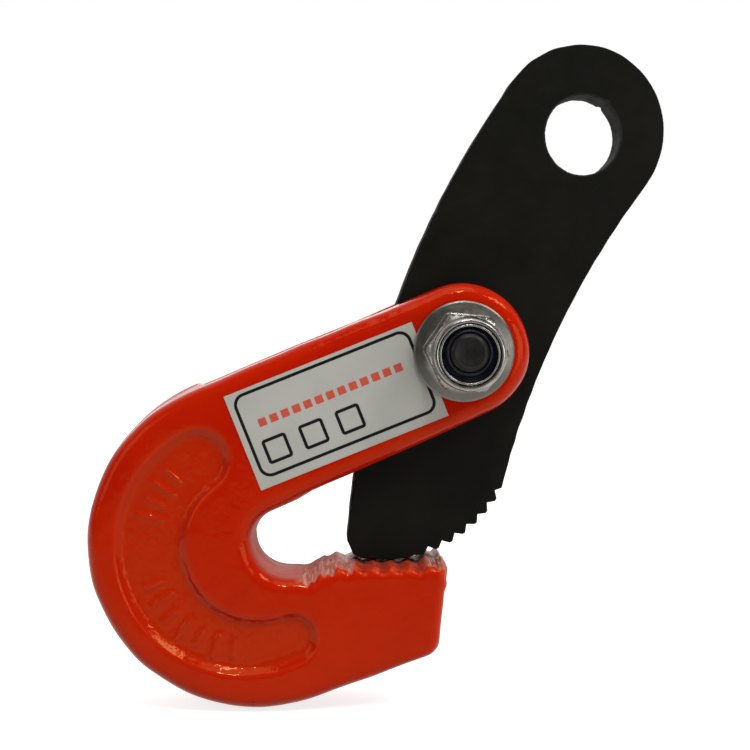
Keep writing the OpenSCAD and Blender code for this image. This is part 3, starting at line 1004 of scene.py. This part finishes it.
MIDDLE = (-0.06, 0.0, -0.07)
LAMPS = {  # place, size and power
    "key": ((-0.02, -0.525, 0.57), (0.10, 0.05), 1.5),
    "sky": ((-0.05, -0.33, 0.74), (0.6, 0.6), 2.7),
    "left": ((-0.7, -0.45, 0.2), (0.35, 0.5), 0.9),
    "right": ((0.38, -0.38, 0.42), (0.26, 0.18), 1.9),
    "low_right": ((0.42, -0.55, -0.09), (0.45, 0.35), 1.75),
    "rear": ((0.1, 0.8, 0.4), (0.8, 0.6), 1.7),
}


def set_camera():
    """The camera that was fitted to the photograph, with a focal length of 1560 of its pixels."""
    azimuth, elevation = math.radians(-2.2), math.radians(2.3)
    level = math.cos(elevation)
    back = Vector((math.sin(azimuth) * level, -math.cos(azimuth) * level, math.sin(elevation)))
    right = Vector((math.cos(azimuth), math.sin(azimuth), 0.0))
    matrix = Matrix((right, back.cross(right), back)).transposed().to_4x4()
    matrix.translation = (-0.070258, -0.415746, -0.046594)
    data = bpy.data.cameras.new("photo_camera")
    data.lens, data.sensor_width = 74.88, 36.0
    data.clip_start = 0.01
    camera = bpy.data.objects.new("photo_camera", data)
    camera.matrix_world = matrix
    bpy.context.collection.objects.link(camera)
    bpy.context.scene.camera = camera


def set_lamps():
    for name, (place, size, power) in LAMPS.items():
        data = bpy.data.lights.new(name, "AREA")
        data.shape, data.size, data.size_y, data.energy = "RECTANGLE", size[0], size[1], power
        light = bpy.data.objects.new(name, data)
        light.location = place
        light.rotation_euler = (Vector(MIDDLE) - Vector(place)).to_track_quat("-Z", "Y").to_euler()
        bpy.context.collection.objects.link(light)


def seen_paths(n, behind):
    """1 for camera rays, and for glossy and transmission rays as far as they look behind the clamp."""
    path = n.add("ShaderNodeLightPath").outputs
    seen = n.math("MULTIPLY", n.either(path["Is Glossy Ray"], path["Is Transmission Ray"]), behind)
    return n.either(seen, path["Is Camera Ray"])


def set_world():
    """White where it is seen, and as a light brighter behind the clamp than in front of it."""
    world = bpy.data.worlds.new("studio")
    bpy.context.scene.world = world
    n = Nodes(world, "Generated")
    way = n.add("ShaderNodeSeparateXYZ", Vector=n.coordinates).outputs[1]
    light = n.span(way, -0.35, 0.35, 0.13, 1.0)
    level = n.either(light, seen_paths(n, n.span(way, -0.1, 0.3)))
    shader = n.add("ShaderNodeBackground", Color=rgb(1.0, 1.0, 1.0), Strength=level)
    n.put(n.add("ShaderNodeOutputWorld").inputs[0], shader.outputs[0])


def set_floor():
    """A matt floor just under the clamp that keeps its shadow and is white where it is seen."""
    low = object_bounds()[0][2] - 0.0001
    mesh = bpy.data.meshes.new("floor")
    mesh.from_pydata([(-15, -0.5, low), (15, -0.5, low), (15, 15, low), (-15, 15, low)], [], [(0, 1, 2, 3)])
    floor = bpy.data.objects.new("floor", mesh)
    bpy.context.collection.objects.link(floor)
    n = material_nodes("floor_white")
    shade = n.mix(n.span(n.noise(3.0), 0.3, 0.7), rgb(0.50, 0.50, 0.50), rgb(0.52, 0.52, 0.52))
    place = n.add("ShaderNodeSeparateXYZ", Vector=n.coordinates).outputs[1]
    glow = n.math("MULTIPLY", seen_paths(n, n.span(place, -0.27, -0.03)), 0.78)
    mesh.materials.append(n.finish(
        Base_Color=shade, Roughness=0.9, Specular_IOR_Level=0.0,
        Emission_Color=rgb(1.0, 1.0, 1.0), Emission_Strength=glow,
    ))


bpy.context.scene.view_settings.view_transform = "Standard"
set_camera()
set_world()
set_floor()
set_lamps()
